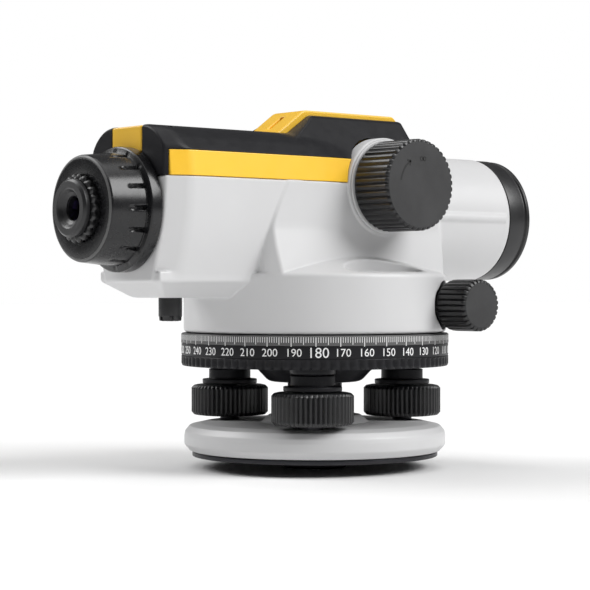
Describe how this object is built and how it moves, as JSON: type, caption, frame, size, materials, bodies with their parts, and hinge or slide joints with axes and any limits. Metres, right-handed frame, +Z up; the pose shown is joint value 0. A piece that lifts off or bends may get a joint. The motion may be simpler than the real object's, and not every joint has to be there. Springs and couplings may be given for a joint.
{
  "type": "automatic level",
  "caption": "Optical surveying level: telescope in a cast housing on a graduated circle and a three-screw base, with fine-drive, focusing and dioptre controls.",
  "frame": {"origin": "where the vertical axis of rotation meets the foot of the tripod boss", "axes": "+Z up along the vertical axis, +X along the sight line towards the target, -Y towards the focusing knob"},
  "size_m": [0.2181, 0.1272, 0.1427],
  "materials": {
    "light_paint": "satin light grey paint on a die-cast housing",
    "yellow_plastic": "satin moulded plastic",
    "black_plastic": "fine-grained moulded plastic",
    "black_anodised": "black anodised",
    "dark_steel": "blackened",
    "steel": "turned",
    "brass": "turned",
    "aluminium": "turned, bare",
    "coated_glass": "violet-blue anti-reflection coating",
    "vial_glass": "clear vial with tinted liquid",
    "rubber": "matt"
  },
  "bodies": {
    "base": {"spring_plate": "dark_steel", "base_plate": "light_paint", "tripod_bush": "dark_steel", "foot_screw_sleeve_1": "black_anodised", "foot_screw_sleeve_2": "black_anodised", "foot_screw_sleeve_3": "black_anodised", "tribrach_body": "black_anodised", "centre_spindle": "steel"},
    "circle": {"horizontal_circle": "black_anodised"},
    "worm_wheel": {"worm_wheel": "brass"},
    "drive": {"drive_shaft": "steel", "drive_worm": "steel", "drive_knob_left": "black_plastic", "drive_knob_right": "black_plastic"},
    "focus_control": {"focus_knob": "black_plastic", "focus_shaft": "steel", "focus_pinion": "steel"},
    "focusing_lens": {"focusing_carrier": "brass", "focusing_lens": "coated_glass"},
    "ocular": {"ocular_barrel": "black_anodised", "eye_lens": "coated_glass"},
    "diopter": {"diopter_ring": "black_plastic", "eyecup": "rubber"},
    "pendulum": {"pendulum_arm": "aluminium", "pendulum_prism": "coated_glass"},
    "check_button": {"check_button": "black_plastic"},
    "foot_screw_1": {"foot_screw_knob_1": "black_plastic", "foot_screw_spindle_1": "steel"},
    "foot_screw_2": {"foot_screw_knob_2": "black_plastic", "foot_screw_spindle_2": "steel"},
    "foot_screw_3": {"foot_screw_knob_3": "black_plastic", "foot_screw_spindle_3": "steel"},
    "head": {"axis_bush": "brass", "bubble_housing": "black_anodised", "bubble_prism": "coated_glass", "bubble_vial": "vial_glass", "button_spring": "steel", "centre_strip": "yellow_plastic", "compensator_frame": "black_anodised", "cover_screw_left": "steel", "cover_screw_right": "steel", "cover_shell_left": "black_plastic", "cover_shell_right": "black_plastic", "damping_magnet": "steel", "drive_sleeve_left": "black_plastic", "drive_sleeve_right": "black_plastic", "fixed_prism": "coated_glass", "focus_collar": "aluminium", "housing_floor": "aluminium", "lens_retaining_ring": "black_anodised", "main_housing": "light_paint", "objective_hood": "black_anodised", "objective_lens": "coated_glass", "reticle_cover": "black_plastic", "reticle_glass": "coated_glass", "reticle_ring": "brass", "side_band_left": "yellow_plastic", "side_band_right": "yellow_plastic"}
  },
  "joints": [
    {"name": "circle_rotation", "type": "hinge", "parent": "base", "child": "circle", "pos_m": [0, 0, 0.0477], "axis": [0, 0, 1], "continuous": true},
    {"name": "coarse_rotation", "type": "hinge", "parent": "base", "child": "worm_wheel", "pos_m": [0, 0, 0.0654], "axis": [0, 0, 1], "continuous": true},
    {"name": "fine_rotation", "type": "hinge", "parent": "worm_wheel", "child": "head", "pos_m": [0, 0, 0.0654], "axis": [0, 0, 1], "continuous": true},
    {"name": "drive_turn", "type": "hinge", "parent": "head", "child": "drive", "pos_m": [0.0312, 0, 0.0654], "axis": [0, 1, 0], "continuous": true},
    {"name": "focus_turn", "type": "hinge", "parent": "head", "child": "focus_control", "pos_m": [0.0135, 0, 0.1125], "axis": [0, -1, 0], "range_deg": [-175, 165]},
    {"name": "focus_slide", "type": "slide", "parent": "head", "child": "focusing_lens", "axis": [1, 0, 0], "range_m": [-0.0079, 0.0074]},
    {"name": "diopter_turn", "type": "hinge", "parent": "head", "child": "diopter", "pos_m": [-0.114, 0, 0.1014], "axis": [-1, 0, 0], "range_deg": [-160, 160]},
    {"name": "ocular_slide", "type": "slide", "parent": "head", "child": "ocular", "axis": [-1, 0, 0], "range_m": [-0.0017, 0.0017]},
    {"name": "pendulum_swing", "type": "hinge", "parent": "head", "child": "pendulum", "pos_m": [-0.024, 0, 0.119], "axis": [0, 1, 0], "range_deg": [-1.5, 1.5]},
    {"name": "check_button_press", "type": "slide", "parent": "head", "child": "check_button", "axis": [0, 0, 1], "range_m": [0, 0.002], "stiffness_N_per_m": 250, "springref_m": -0.002, "deforming": ["button_spring"]},
    {"name": "foot_screw_1_turn", "type": "hinge", "parent": "base", "child": "foot_screw_1", "pos_m": [-0.02742, -0.03088, 0.026], "axis": [0, 0, 1], "range_deg": [-1080, 1080]},
    {"name": "foot_screw_2_turn", "type": "hinge", "parent": "base", "child": "foot_screw_2", "pos_m": [0.04046, -0.0083, 0.026], "axis": [0, 0, 1], "range_deg": [-1080, 1080]},
    {"name": "foot_screw_3_turn", "type": "hinge", "parent": "base", "child": "foot_screw_3", "pos_m": [-0.01304, 0.03919, 0.026], "axis": [0, 0, 1], "range_deg": [-1080, 1080]}
  ],
  "couplings": [
    {"joint": "drive_turn", "follows": "fine_rotation", "ratio": 40},
    {"joint": "focus_turn", "follows": "focus_slide", "rad_per_m": 384.62},
    {"joint": "diopter_turn", "follows": "ocular_slide", "rad_per_m": 1642.6}
  ]
}
